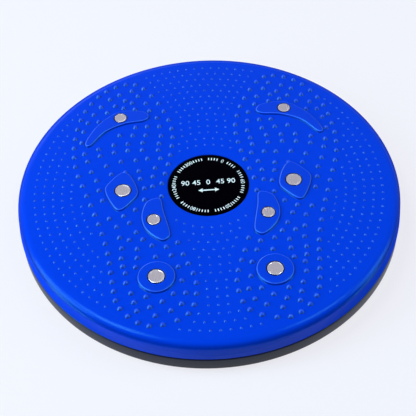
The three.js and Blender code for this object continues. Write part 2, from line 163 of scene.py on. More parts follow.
# Label
LABEL_RADIUS = 26.4
LABEL_UNDER_Z = 22.9
INK_HEIGHT = 0.03
INK_SINK = 0.01
DIGIT_HEIGHT_SHARE = 0.7
DIGIT_THICKENING_SHARE = 0.004

# Dial on the label: six arcs of ticks round a number, with angles in degrees from +X
ARC_NUMBERS = ("0", "60", "120", "180", "240", "300")
ARC_START = 62
ARC_PITCH = 60
ARC_NUMBER_RADIUS = 22.5
ARC_NUMBER_HEIGHT = 2.6
TICK_INNER_RADIUS = 21.6
TICK_OUTER_RADIUS = 23.6
TICK_STEPS = (2, 3, 4, 5)
TICK_PITCH = 4.8
TICK_HALF_WIDTH = 0.8

# Middle of the label: a row of angles, each with its place across, and a double-headed arrow
ROW_NUMBERS = (("90", -15.0), ("45", -7.8), ("0", 0.0), ("45", 7.8), ("90", 15.0))
ROW_NUMBER_HEIGHT = 3.9
ROW_Y = 2.2
ARROW_Y = -4.75
ARROW_SHAFT_END = 4.0
ARROW_SHAFT_HALF_WIDTH = 0.45
ARROW_TIP = 6.8
ARROW_HEAD_HALF_WIDTH = 1.65

# Facets, points of the curves and softened edges
DISC_SEGMENTS = 192
SMALL_SEGMENTS = 64
NUT_BOSS_SEGMENTS = 72
BALL_SEGMENTS = 28
NUB_SEGMENTS = 10
FINE_NUB_SEGMENTS = 8
PAD_POINTS = 160
GROOVE_POINTS = 13
SHOULDER_POINTS = 15
CREASE_POINTS = 3
BALL_POINTS = 17
TICK_POINTS = 3
GAP_SHADE_POINTS = 5
CORNER_STEPS = 4
RIB_SOFTNESS = 0.3
SHARP_ANGLE = math.radians(40)

# Depths of the finishes' bumps, in metres
SKIN_DEPTH = 0.000008
MARK_DEPTH = 0.000004
FINE_MARK_DEPTH = 0.0000012
BUMP_STRENGTH = 0.5

# Lamps: name, place, aim, width and height in millimetres, power in watts and colour
SOFT_BOXES = (
    ("left_box", (-480, 60, 1150), (0, 0, 0), 400, 360, 5.2, (0.8, 0.95, 1)),
    ("right_box", (480, 60, 1150), (0, 0, 0), 340, 300, 2.2, (0.8, 0.95, 1)),
    ("left_wall", (-900, 60, 720), (0, 0, 0), 440, 640, 8.2, (0.6, 0.92, 1)),
    ("right_wall", (900, 60, 720), (0, 0, 0), 370, 500, 3.2, (0.6, 0.92, 1)),
    ("low_left_box", (-900, -260, 260), (0, 0, 20), 420, 400, 5.4, (0.3, 0.85, 1)),
    ("low_right_box", (900, -260, 260), (0, 0, 20), 340, 300, 2.0, (0.3, 0.85, 1)),
    ("back_box", (-500, 1700, 620), (0, 0, 0), 900, 600, 3.0, (1, 1, 1)),
)
FLOOR_HALF_WIDTH = 3000.0
FLOOR_PLAIN_SHARE = 0.7

# Camera, in the object's own frame
CAMERA_ELEVATION = math.radians(49.82)
CAMERA_AZIMUTH = math.radians(-1.814)
CAMERA_ROLL = math.radians(-2.374)
CAMERA_DISTANCE = 630.8
CAMERA_TARGET = (-0.89, -14.2, 16.86)
FOCAL_PIXELS = 974.0
FRAME_PIXELS = 416
SENSOR_WIDTH = 36.0


# Shapes: a shape is a pair of vertices (n, 3), in millimetres, and a list of face arrays
def lofted(rings, closed=False):
    """Joins rings of points, shape (rings, points, 3), by quads; closed joins the last ring to the first.
    The rings run counter-clockwise seen from above, and outward faces have the material on their left."""
    count, around = rings.shape[:2]
    index = np.arange(count * around).reshape(count, around)
    if closed:
        index = np.vstack([index, index[:1]])
    here = index[:-1]
    after = index[1:]
    quads = np.stack([here, np.roll(here, -1, 1), np.roll(after, -1, 1), after], axis=-1)
    return rings.reshape(-1, 3), [quads.reshape(-1, 4)]


def revolved(profile, segments, closed=False):
    """Turns a profile of (radius, height) about Z: x = r cos a, y = r sin a, z = h. The profile runs
    outwards along the bottom and back along the top; an end on the axis becomes one pole vertex."""
    profile = np.asarray(profile, float)
    low_pole = not closed and profile[0, 0] == 0
    high_pole = not closed and profile[-1, 0] == 0
    body = profile[int(low_pole):len(profile) - int(high_pole)]
    angle = np.linspace(0, 2 * math.pi, segments, endpoint=False)
    rings = np.stack(
        [
            body[:, :1] * np.cos(angle),
            body[:, :1] * np.sin(angle),
            np.repeat(body[:, 1:], segments, axis=1),
        ],
        axis=-1,
    )
    verts, faces = lofted(rings, closed)
    column = np.arange(segments)
    following = np.roll(column, -1)
    if low_pole:
        pole = np.full(segments, len(verts))
        verts = np.vstack([verts, [[0, 0, profile[0, 1]]]])
        faces.append(np.stack([pole, following, column], axis=-1))
    if high_pole:
        pole = np.full(segments, len(verts))
        last = (len(body) - 1) * segments
        verts = np.vstack([verts, [[0, 0, profile[-1, 1]]]])
        faces.append(np.stack([last + column, last + following, pole], axis=-1))
    return verts, faces


def softened(corners, closed=False):
    """A profile from (radius, height, softness) corners. A corner of softness s becomes a parabola that
    leaves both sides at the distance s: (1-t)^2 before + 2t(1-t) corner + t^2 after."""
    points = np.array([corner[:2] for corner in corners], float)
    t = np.linspace(0, 1, CORNER_STEPS + 1)[:, None]
    made = []
    for i, (_, _, softness) in enumerate(corners):
        at_end = not closed and i in (0, len(corners) - 1)
        if softness == 0 or at_end:
            made.append(points[i][None])
            continue
        back = points[i - 1] - points[i]
        ahead = points[(i + 1) % len(points)] - points[i]
        before = points[i] + back * softness / np.linalg.norm(back)
        after = points[i] + ahead * softness / np.linalg.norm(ahead)
        made.append((1 - t) ** 2 * before + 2 * t * (1 - t) * points[i] + t**2 * after)
    return np.vstack(made)


def merged(shapes):
    """Several shapes as one, each with its own vertices."""
    verts = []
    faces = []
    total = 0
    for shape_verts, shape_faces in shapes:
        verts.append(shape_verts)
        faces.extend(part + total for part in shape_faces)
        total += len(shape_verts)
    return np.vstack(verts), faces


def stamped(shape, places):
    """Copies a shape to every place (n, 3) by adding the place to all of its vertices."""
    verts, faces = shape
    copies = verts[None] + np.asarray(places, float)[:, None]
    starts = (np.arange(len(places)) * len(verts))[:, None, None]
    return copies.reshape(-1, 3), [(part[None] + starts).reshape(-1, part.shape[1]) for part in faces]


def on_circle(count, radius, height=0.0):
    """Places spread evenly round the pivot, the first on +X."""
    angle = np.arange(count) * 2 * math.pi / count
    return np.stack([radius * np.cos(angle), radius * np.sin(angle), np.full(count, height)], axis=-1)


def box_ring(inner, outer, bottom, top):
    """A ring rib with softened lower edges, revolved from a rectangle."""
    soft = RIB_SOFTNESS
    corners = [(inner, bottom, soft), (outer, bottom, soft), (outer, top, 0), (inner, top, 0)]
    return revolved(softened(corners, closed=True), DISC_SEGMENTS, closed=True)


def radial_ribs(count, inner, outer, bottom, top):
    """Upright walls along the radius: one box whose corners are turned by each rib's angle at once."""
    half = RIB_WALL / 2
    x = np.array([inner, outer, outer, inner, inner, outer, outer, inner])
    y = np.array([-half, -half, half, half, -half, -half, half, half])
    z = np.array([bottom, bottom, bottom, bottom, top, top, top, top])
    angle = (np.arange(count) * 2 * math.pi / count)[:, None]
    turned_x = x * np.cos(angle) - y * np.sin(angle)
    turned_y = x * np.sin(angle) + y * np.cos(angle)
    verts = np.stack([turned_x, turned_y, np.tile(z, (count, 1))], axis=-1)
    sides = np.array([[0, 3, 2, 1], [4, 5, 6, 7], [0, 1, 5, 4], [1, 2, 6, 5], [2, 3, 7, 6], [3, 0, 4, 7]])
    faces = sides[None] + (np.arange(count) * 8)[:, None, None]
    return verts.reshape(-1, 3), [faces.reshape(-1, 4)]


def piece(name, shape, material, body, replaces=None):
    """Puts a shape into a mesh object in metres, with smooth faces and sharp edges where they turn hard."""
    verts, faces = shape
    mesh = bpy.data.meshes.new(name)
    mesh.from_pydata(verts * MM, [], [face for part in faces for face in part.tolist()])
    mesh.polygons.foreach_set("use_smooth", np.ones(len(mesh.polygons), bool))
    mesh.set_sharp_from_angle(angle=SHARP_ANGLE)
    mesh.materials.append(material)
    made = bpy.data.objects.new(name, mesh)
    bpy.context.scene.collection.objects.link(made)
    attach(made, body)
    if replaces:
        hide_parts(replaces)


# Foot plate
def race_groove(mouth_z, upwards):
    """The race's round groove: r = race + R cos a, z = ball + R sin a, from mouth edge to mouth edge."""
    lift = (mouth_z - BALL_Z) / GROOVE_RADIUS
    start = math.pi - math.asin(lift)
    end = math.asin(lift)
    if not upwards:
        start, end = end, start - 2 * math.pi
    angle = np.linspace(start, end, GROOVE_POINTS)
    radius = RACE_RADIUS + GROOVE_RADIUS * np.cos(angle)
    height = BALL_Z + GROOVE_RADIUS * np.sin(angle)
    return [(r, z, 0) for r, z in zip(radius, height)]


def shoulder():
    """The rolled shoulder from crease to flat face: an arc that leaves the face level. Its first points are
    left out, where the crease's softened corner stands."""
    radius = SHOULDER_RADIUS
    run = radius * math.sin(SHOULDER_ANGLE)
    angle = np.linspace(SHOULDER_ANGLE, 0, SHOULDER_POINTS)[CREASE_POINTS:]
    inner = CREASE_RADIUS - run
    return [(inner + radius * math.sin(a), FACE_Z - radius * (1 - math.cos(a)), 0) for a in angle]


def foot_plate_shell():
    """The plate's closed section, from the hub's bore out along the underside and back over the face."""
    corners = [
        (HUB_BORE_RADIUS, HUB_WEB_Z, 0),
        (HUB_RADIUS, HUB_WEB_Z, 0.3),
        (HUB_RADIUS, UNDER_Z, 0.3),
        (RACE_INNER_RADIUS, UNDER_Z, 0.3),
        (RACE_INNER_RADIUS, UPPER_RACE_Z, 0.3),
        *race_groove(UPPER_RACE_Z, upwards=True),
        (RACE_OUTER_RADIUS, UPPER_RACE_Z, 0.3),
        (RACE_OUTER_RADIUS, UNDER_Z, 0.3),
        (FLAT_RADIUS, UNDER_Z, 1.5),
        (INNER_SHOULDER_RADIUS, UNDER_Z - 0.6, 1.5),
        (SKIRT_INNER_RADIUS, SKIRT_BOTTOM_Z, 0.3),
        (PLATE_RADIUS, SKIRT_BOTTOM_Z, 1.1),
        (CREASE_RADIUS, SHOULDER_END_Z, 0.9),
        *shoulder(),
        (LABEL_POCKET_RADIUS, FACE_Z, 0.15),
        (LABEL_POCKET_RADIUS, LABEL_POCKET_Z, 0.1),
        (WELL_RADIUS, LABEL_POCKET_Z, 0.2),
        (WELL_RADIUS, HUB_WEB_TOP_Z, 0.2),
        (HUB_BORE_RADIUS, HUB_WEB_TOP_Z, 0),
    ]
    return revolved(softened(corners, closed=True), DISC_SEGMENTS, closed=True)


def foot_plate(material):
    """The shell with its ring ribs and the radial ribs inside and outside the race."""
    top = UNDER_Z + PLATE_RIB_SINK
    ribs = [box_ring(inner, outer, PLATE_RIB_Z, top) for inner, outer in PLATE_RING_RIBS]
    for start, end in (
        (HUB_RADIUS - RIB_END_SINK, RACE_INNER_RADIUS + RIB_END_SINK),
        (RACE_OUTER_RADIUS - RIB_END_SINK, FLAT_RADIUS),
    ):
        ribs.append(radial_ribs(PLATE_RIB_COUNT, start, end, PLATE_RIB_Z, top))
    shape = merged([foot_plate_shell(), *ribs])
    piece("foot_plate", shape, material, "plate", "top_plate")


def nub_places(plate_node):
    """Where the massage nubs stand: the tips of the CAD plate's nubs, its highest vertices."""
    coords = np.empty(len(plate_node.data.vertices) * 3, np.float32)
    plate_node.data.vertices.foreach_get("co", coords)
    coords = coords.reshape(-1, 3)
    tips = coords[coords[:, 2] > coords[:, 2].max() - NUB_TIP_TOLERANCE * MM]
    places = np.unique(tips, axis=0).astype(float) / MM
    places[:, 2] = FACE_Z
    return places


def massage_nubs(places, material):
    """Each nub is a round cap of radius R down to its slope, then a hollow foot arc that ends level:
    cap r = R sin a, z = h - R(1 - cos a); foot r = end - f sin a, z = f(1 - cos a)."""
    cap = np.linspace(NUB_SLOPE, 0, 4)
    foot = np.linspace(NUB_FOOT_START, NUB_SLOPE, 3)
    cap_radius = NUB_CAP_RADIUS * np.sin(cap)
    cap_height = NUB_HEIGHT - NUB_CAP_RADIUS * (1 - np.cos(cap))
    end = cap_radius[0] + NUB_FOOT_RADIUS * math.sin(NUB_SLOPE)
    drop = cap_height[0] - NUB_FOOT_RADIUS * (1 - math.cos(NUB_SLOPE))
    foot_radius = end - NUB_FOOT_RADIUS * np.sin(foot)
    foot_height = drop + NUB_FOOT_RADIUS * (1 - np.cos(foot))
    profile = np.vstack(
        [
            np.stack([foot_radius[:-1], foot_height[:-1]], axis=-1),
            np.stack([cap_radius[:-1], cap_height[:-1]], axis=-1),
            [[0, NUB_HEIGHT]],
        ]
    )
    nub = revolved(profile, NUB_SEGMENTS)
    piece("massage_nubs", stamped(nub, places), material, "plate")


def fine_nub_places(field_points):
    """Rings of places round the pivot. A place is kept where it lies outside both foot fields: the field's
    points at nearly the same y all stand on one side of it, at least the clearance away."""
    rings = []
    for i, (count, gap) in enumerate(zip(FINE_RING_COUNTS, FINE_RING_GAP_ON_AXIS)):
        radius = FINE_RING_START + i * FINE_RING_PITCH
        angle = math.pi / 2 + (np.arange(count) + gap / 2) * 2 * math.pi / count
        rings.append(np.stack([radius * np.cos(angle), radius * np.sin(angle)], axis=-1))
    places = np.vstack(rings)
    across = np.abs(places[:, :1])
    right = field_points[field_points[:, 0] > 0]
    level = np.abs(places[:, 1:] - right[:, 1]) < FINE_NUB_CLEARANCE
    inner = np.where(level, right[:, 0], np.inf).min(axis=1, keepdims=True)
    outer = np.where(level, right[:, 0], -np.inf).max(axis=1, keepdims=True)
    outside = (across < inner - FINE_NUB_CLEARANCE) | (across > outer + FINE_NUB_CLEARANCE)
    kept = places[outside[:, 0]]
    return np.column_stack([kept, np.full(len(kept), FACE_Z)])


def fine_nubs(places, material):
    """Low round pips: z = h (1 - (r/R)^2) - sink, so that the edge lies a little under the face."""
    radius = np.array(FINE_NUB_RADIUS_SHARES) * FINE_NUB_RADIUS
    height = FINE_NUB_HEIGHT * (1 - (radius / FINE_NUB_RADIUS) ** 2) - FINE_NUB_SINK
    profile = np.vstack([np.stack([radius, height], axis=-1), [[0, FINE_NUB_HEIGHT - FINE_NUB_SINK]]])
    pip = revolved(profile, FINE_NUB_SEGMENTS)
    piece("fine_nubs", stamped(pip, places), material, "plate")


# Pads and magnets
def smooth_outline(knots, count):
    """A closed uniform Catmull-Rom curve: on each span, half of
    2B + (C-A)t + (2A-5B+4C-D)t^2 + (3B-3C+D-A)t^3 for the knots A, B, C, D round it."""
    share = np.linspace(0, len(knots), count, endpoint=False)
    span = share.astype(int)
    t = (share - span)[:, None]
    a, b, c, d = (knots[(span + step) % len(knots)] for step in (-1, 0, 1, 2))
    return (2 * b + (c - a) * t + (2 * a - 5 * b + 4 * c - d) * t**2 + (3 * b - 3 * c + d - a) * t**3) / 2


def pad_outline(number, magnet, side):
    """A pad's outline in millimetres, counter-clockwise; the fourth pad is a circle round its magnet."""
    if number in PAD_KNOT_SHARES:
        knots = np.array(PAD_KNOT_SHARES[number]) * PLATE_RADIUS * (side, 1)
        outline = smooth_outline(knots, PAD_POINTS)
    else:
        angle = np.linspace(0, 2 * math.pi, PAD_POINTS, endpoint=False)
        radius = ROUND_PAD_RADIUS_SHARE * PLATE_RADIUS
        outline = magnet + radius * np.stack([np.cos(angle), np.sin(angle)], axis=-1)
    ahead = np.roll(outline, -1, axis=0)
    area = (outline[:, 0] * ahead[:, 1] - ahead[:, 0] * outline[:, 1]).sum()
    return outline if area > 0 else outline[::-1]


def raised_pad(outline, magnet, well_radius):
    """A pad with a hollow foot and a round edge: each ring is the outline moved along its normal. The flat
    top fills the space between the last ring and the magnet's well, whose wall goes below the face."""
    along = np.roll(outline, -1, axis=0) - np.roll(outline, 1, axis=0)
    along /= np.linalg.norm(along, axis=1, keepdims=True)
    outwards = np.stack([along[:, 1], -along[:, 0]], axis=-1)
    rings = [(move, FACE_Z + lift) for move, lift in PAD_FOOT_RINGS]
    rings += [(move, PAD_Z + lift) for move, lift in PAD_EDGE_RINGS]
    side = [np.column_stack([outline + outwards * move, np.full(PAD_POINTS, z)]) for move, z in rings]
    angle = np.linspace(0, 2 * math.pi, SMALL_SEGMENTS, endpoint=False)
    circle = np.stack([np.cos(angle), np.sin(angle)], axis=-1)
    wall = [
        np.column_stack([magnet + circle * (well_radius - inset), np.full(SMALL_SEGMENTS, z)])
        for inset, z in (
            (0, PAD_Z),
            (WELL_EDGE_INSET, PAD_Z - WELL_EDGE_DEPTH),
            (WELL_EDGE_INSET, FACE_Z - WELL_WALL_SINK),
        )
    ]
    border = np.vstack([side[-1], wall[0]])
    loops = [[Vector(point) for point in loop] for loop in (side[-1], wall[0])]
    flat = np.array(tessellate_polygon(loops))
    a, b, c = (border[flat[:, corner], :2] for corner in range(3))
    turned = np.cross(b - a, c - a) < 0
    flat[turned] = flat[turned, ::-1]
    return merged([lofted(np.stack(side)), (border, [flat]), lofted(np.stack(wall))])


def magnet_shape(radius):
    """A plated disc with a broad rounded edge round a slightly sunk face."""
    corners = [
        (0, MAGNET_UNDER_Z, 0),
        (radius, MAGNET_UNDER_Z, 0.3),
        (radius, PAD_Z - 0.4, 0.15),
        (radius - 0.3, PAD_Z - 0.1, 0.12),
        (radius - 0.65, PAD_Z, 0.15),
        (radius - 1.05, PAD_Z - MAGNET_FACE_SINK, 0.15),
        (0, PAD_Z - MAGNET_FACE_SINK, 0),
    ]
    return revolved(softened(corners), SMALL_SEGMENTS)


def gap_shade_ring(radius):
    """Painted shade in the gap round a magnet: a dark ring whose top hangs through, z = top - 4 sag t(1 -
    t).
    """
    inner = radius - GAP_SHADE_INNER_OVERLAP
    outer = radius + MAGNET_SIDE_GAP + GAP_SHADE_OUTER_OVERLAP
    across = np.linspace(inner, outer, GAP_SHADE_POINTS)
    share = (across - inner) / (outer - inner)
    top = PAD_Z - GAP_SHADE_DROP - 4 * GAP_SHADE_SAG * share * (1 - share)
    floor = [(inner, FACE_Z), (outer, FACE_Z)]
    return revolved(floor + list(zip(across, top))[::-1], SMALL_SEGMENTS, closed=True)


def pads_and_magnets(plastic, plating, gap_shade_material):
    """The eight pads as one moulding, and each magnet as a piece of its own in its pad's well."""
    pads = []
    gap_shade_rings = []
    outlines = []
    for side, word in ((1, "right"), (-1, "left")):
        for number in (1, 2, 3, 4):
            node = f"magnet_{number}_{word}"
            low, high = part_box(node)
            centre = (low + high) / 2
            radius = (high.x - low.x) / 2 / MM
            place = np.array([centre.x, centre.y]) / MM
            outline = pad_outline(number, place, side)
            outlines.append(outline)
            pads.append(raised_pad(outline, place, radius + MAGNET_SIDE_GAP))
            disc = stamped(magnet_shape(radius), [(place[0], place[1], 0)])
            piece(f"plated_magnet_{number}_{word}", disc, plating, "plate", node)
            gap_shade_rings.append(stamped(gap_shade_ring(radius), [(place[0], place[1], 0)]))
    piece("magnet_pads", merged(pads), plastic, "plate")
    # The dark rings in the magnets' gaps are painted shade
    piece("magnet_gap_shade", merged(gap_shade_rings), gap_shade_material, "plate")
    return np.vstack(outlines)


# Label
def label_disc(material):
    """The black disc in the middle, level with the face, its upper edge softened."""
    corners = [
        (0, LABEL_UNDER_Z, 0),
        (LABEL_RADIUS, LABEL_UNDER_Z, 0.2),
        (LABEL_RADIUS, FACE_Z, 0.3),
        (0, FACE_Z, 0),
    ]
    shape = revolved(softened(corners), DISC_SEGMENTS)
    piece("centre_label", shape, material, "plate", "label_disc")


def tick(degrees):
    """A printed tick: r from the inner to the outer radius and the angle round its middle, as a thin closed
    plate. Each ring is the tick's section at one angle."""
    angle = np.radians(np.linspace(degrees - TICK_HALF_WIDTH, degrees + TICK_HALF_WIDTH, TICK_POINTS))
    low = np.full(TICK_POINTS, FACE_Z - INK_SINK)
    high = np.full(TICK_POINTS, FACE_Z + INK_HEIGHT)
    edges = [
        np.stack([r * np.cos(angle), r * np.sin(angle), z], axis=-1)
        for r, z in (
            (TICK_INNER_RADIUS, high),
            (TICK_OUTER_RADIUS, high),
            (TICK_OUTER_RADIUS, low),
            (TICK_INNER_RADIUS, low),
        )
    ]
    verts, faces = lofted(np.stack(edges, axis=1))
    last = (TICK_POINTS - 1) * len(edges)
    ends = np.array([[3, 2, 1, 0], [last, last + 1, last + 2, last + 3]])
    return verts, faces + [ends]


def flat_plate(outline):
    """A thin printed plate with a convex outline of (x, y) corners."""
    outline = np.asarray(outline, float)
    count = len(outline)
    low = np.column_stack([outline, np.full(count, FACE_Z - INK_SINK)])
    high = np.column_stack([outline, np.full(count, FACE_Z + INK_HEIGHT)])
    verts, faces = lofted(np.stack([low, high]))
    return verts, faces + [np.arange(count)[None, ::-1], np.arange(count, 2 * count)[None]]


def printed_number(words, height, place, turn):
    """A plain number as a thin plate, its middle at the place and turned in its plane."""
    curve = bpy.data.curves.new("number", "FONT")
    curve.body = words
    curve.size = height * MM / DIGIT_HEIGHT_SHARE
    curve.resolution_u = 5
    curve.offset = DIGIT_THICKENING_SHARE * curve.size
    curve.extrude = INK_HEIGHT * MM / 2
    curve.align_x = "CENTER"
    curve.align_y = "CENTER"
    text = bpy.data.objects.new("number", curve)
    bpy.context.scene.collection.objects.link(text)
    bpy.context.view_layer.update()
    mesh = bpy.data.meshes.new_from_object(text.evaluated_get(bpy.context.evaluated_depsgraph_get()))
    coords = np.empty(len(mesh.vertices) * 3, np.float32)
    mesh.vertices.foreach_get("co", coords)
    coords = coords.reshape(-1, 3).astype(float) / MM
    coords[:, :2] -= (coords[:, :2].max(axis=0) + coords[:, :2].min(axis=0)) / 2
    turned = np.array([[math.cos(turn), math.sin(turn)], [-math.sin(turn), math.cos(turn)]])
    coords[:, :2] = coords[:, :2] @ turned + place
    coords[:, 2] += FACE_Z + INK_HEIGHT / 2
    sizes = {}
    for polygon in mesh.polygons:
        sizes.setdefault(len(polygon.vertices), []).append(list(polygon.vertices))
    faces = [np.array(group) for group in sizes.values()]
    bpy.data.objects.remove(text)
    bpy.data.meshes.remove(mesh)
    bpy.data.curves.remove(curve)
    return coords, faces


def label_print(material):
    """A plain turning dial: six arcs of ticks round a number, a row of angles and a double-headed arrow."""
    shapes = []
    for arc, number in enumerate(ARC_NUMBERS):
        middle = ARC_START - arc * ARC_PITCH
        radians = math.radians(middle)
        place = ARC_NUMBER_RADIUS * np.array([math.cos(radians), math.sin(radians)])
        shapes.append(printed_number(number, ARC_NUMBER_HEIGHT, place, radians - math.pi / 2))
        for step in TICK_STEPS:
            shapes.append(tick(middle - step * TICK_PITCH))
            shapes.append(tick(middle + step * TICK_PITCH))
    for number, across in ROW_NUMBERS:
        shapes.append(printed_number(number, ROW_NUMBER_HEIGHT, (across, ROW_Y), 0.0))
    low = ARROW_Y - ARROW_SHAFT_HALF_WIDTH
    high = ARROW_Y + ARROW_SHAFT_HALF_WIDTH
    end = ARROW_SHAFT_END
    shapes.append(flat_plate([(-end, low), (end, low), (end, high), (-end, high)]))
    for side in (1, -1):
        half = side * ARROW_HEAD_HALF_WIDTH
        head = [(side * end, ARROW_Y - half), (side * ARROW_TIP, ARROW_Y), (side * end, ARROW_Y + half)]
        shapes.append(flat_plate(head))
    piece("label_print", merged(shapes), material, "plate")


# Base plate
def base_shell():
    """The base's closed section, from the bolt's bore out along the underside, over the rim and back."""
    corners = [
        (BOLT_BORE_RADIUS, HUB_FLOOR_UNDER_Z, 0),
        (HUB_FLOOR_RADIUS, HUB_FLOOR_UNDER_Z, 0.3),
        (HUB_FLOOR_RADIUS, DECK_UNDER_Z, 0.3),
        (RACE_INNER_RADIUS, DECK_UNDER_Z, 0.3),
        (RACE_INNER_RADIUS, RACE_UNDER_Z, 0.3),
        (RACE_OUTER_RADIUS, RACE_UNDER_Z, 0.3),
        (RACE_OUTER_RADIUS, DECK_UNDER_Z, 0.3),
        (LIP_INNER_RADIUS, DECK_UNDER_Z, 0.3),
        (LIP_INNER_RADIUS, LEDGE_UNDER_Z, 0.3),
        (RIM_INNER_RADIUS, LEDGE_UNDER_Z, 0.3),
        (RIM_INNER_RADIUS, RIM_BOTTOM_Z, 0.4),
        (RIM_RADIUS, RIM_BOTTOM_Z, 0.6),
        (RIM_RADIUS, RIM_TOP_Z, 1.1),
        (LIP_RADIUS, RIM_TOP_Z, 0.3),
        (LIP_RADIUS, DECK_Z, 0.3),
        *race_groove(DECK_Z, upwards=False),
        (HUB_RECESS_RADIUS, DECK_Z, 0.3),
        (HUB_RECESS_RADIUS, HUB_RECESS_Z, 0.2),
        (BOLT_BORE_RADIUS, HUB_RECESS_Z, 0),
    ]
    return revolved(softened(corners, closed=True), DISC_SEGMENTS, closed=True)


def nut_boss():
    """The boss under the hub: a round wall outside and a hexagonal pocket inside. The pocket's radius at an
    angle is half its width across flats over the cosine of the angle from the nearest flat's middle."""
    angle = np.linspace(0, 2 * math.pi, NUT_BOSS_SEGMENTS, endpoint=False)
    sixth = math.pi / 3
    hexagon = NUT_POCKET_HALF_FLATS / np.cos((angle % sixth) - sixth / 2)
    rings = []
    for radius, z in (
        (BOLT_BORE_RADIUS, NUT_POCKET_Z),
        (hexagon, NUT_POCKET_Z),
        (hexagon, RIB_BOTTOM_Z),
        (NUT_BOSS_RADIUS, RIB_BOTTOM_Z),
        (NUT_BOSS_RADIUS, HUB_FLOOR_UNDER_Z + BASE_RIB_SINK),
        (BOLT_BORE_RADIUS, HUB_FLOOR_UNDER_Z + BASE_RIB_SINK),
    ):
        spread = radius * np.ones_like(angle)
        height = np.full_like(angle, z)
        rings.append(np.stack([spread * np.cos(angle), spread * np.sin(angle), height], axis=-1))
    return lofted(np.stack(rings), closed=True)


def foot_boss():
    """The cup that holds a foot: its floor, the well's wall, the rim and the outer wall up to the deck."""
    corners = [
        (0, FOOT_WELL_Z, 0),
        (FOOT_WELL_RADIUS, FOOT_WELL_Z, 0.2),
        (FOOT_WELL_RADIUS, RIB_BOTTOM_Z, 0.2),
        (FOOT_BOSS_RADIUS, RIB_BOTTOM_Z, 0.3),
        (FOOT_BOSS_RADIUS, DECK_UNDER_Z + BASE_RIB_SINK, 0),
        (0, DECK_UNDER_Z + BASE_RIB_SINK, 0),
    ]
    return revolved(softened(corners), SMALL_SEGMENTS)


def base_tray(material):
    """The base's shell with the nut's boss, the feet's cups, the ring ribs and the radial ribs."""
    top = DECK_UNDER_Z + BASE_RIB_SINK
    start = NUT_BOSS_RADIUS - RIB_END_SINK
    end = LIP_INNER_RADIUS + RIB_END_SINK
    ribs = [box_ring(inner, outer, RIB_BOTTOM_Z, top) for inner, outer in BASE_RING_RIBS]
    ribs.append(radial_ribs(BASE_RIB_COUNT, start, end, RIB_BOTTOM_Z, top))
    bosses = stamped(foot_boss(), on_circle(FOOT_COUNT, FOOT_CIRCLE_RADIUS))
    shape = merged([base_shell(), nut_boss(), bosses, *ribs])
    piece("base_tray", shape, material, "base", "base_plate")


def rubber_feet(material):
    """Each foot is a revolved disc whose floor edge is well rounded."""
    corners = [
        (0, 0, 0),
        (FOOT_RADIUS - FOOT_EDGE_INSET, 0, 0.5),
        (FOOT_RADIUS, FOOT_EDGE_Z, 0.5),
        (FOOT_RADIUS, FOOT_TOP_Z, 0.2),
        (0, FOOT_TOP_Z, 0),
    ]
    foot = revolved(softened(corners), SMALL_SEGMENTS)
    for i, place in enumerate(on_circle(FOOT_COUNT, FOOT_CIRCLE_RADIUS)):
        number = i + 1
        shape = stamped(foot, [place])
        piece(f"rubber_foot_{number}", shape, material, "base", f"foot_{number}")


def race_balls(material):
    """Each ball is a half circle turned about Z: r = R cos a, z = R sin a."""
    angle = np.linspace(-math.pi / 2, math.pi / 2, BALL_POINTS)
    profile = np.stack([BALL_RADIUS * np.cos(angle), BALL_RADIUS * np.sin(angle)], axis=-1)
    profile[[0, -1], 0] = 0
    ball = revolved(profile, BALL_SEGMENTS)
    for i, place in enumerate(on_circle(BALL_COUNT, RACE_RADIUS, BALL_Z)):
        number = f"{i + 1:02d}"
        shape = stamped(ball, [place])
        piece(f"steel_ball_{number}", shape, material, f"roller_{number}", f"ball_{number}")


# Finishes
def add_node(tree, kind, **settings):
    """A new node; each setting goes to the input of that name, or else to the node's own property."""
    node = tree.nodes.new(kind)
    for name, value in settings.items():
        if name in node.inputs:
            node.inputs[name].default_value = value
        else:
            setattr(node, name, value)
    return node


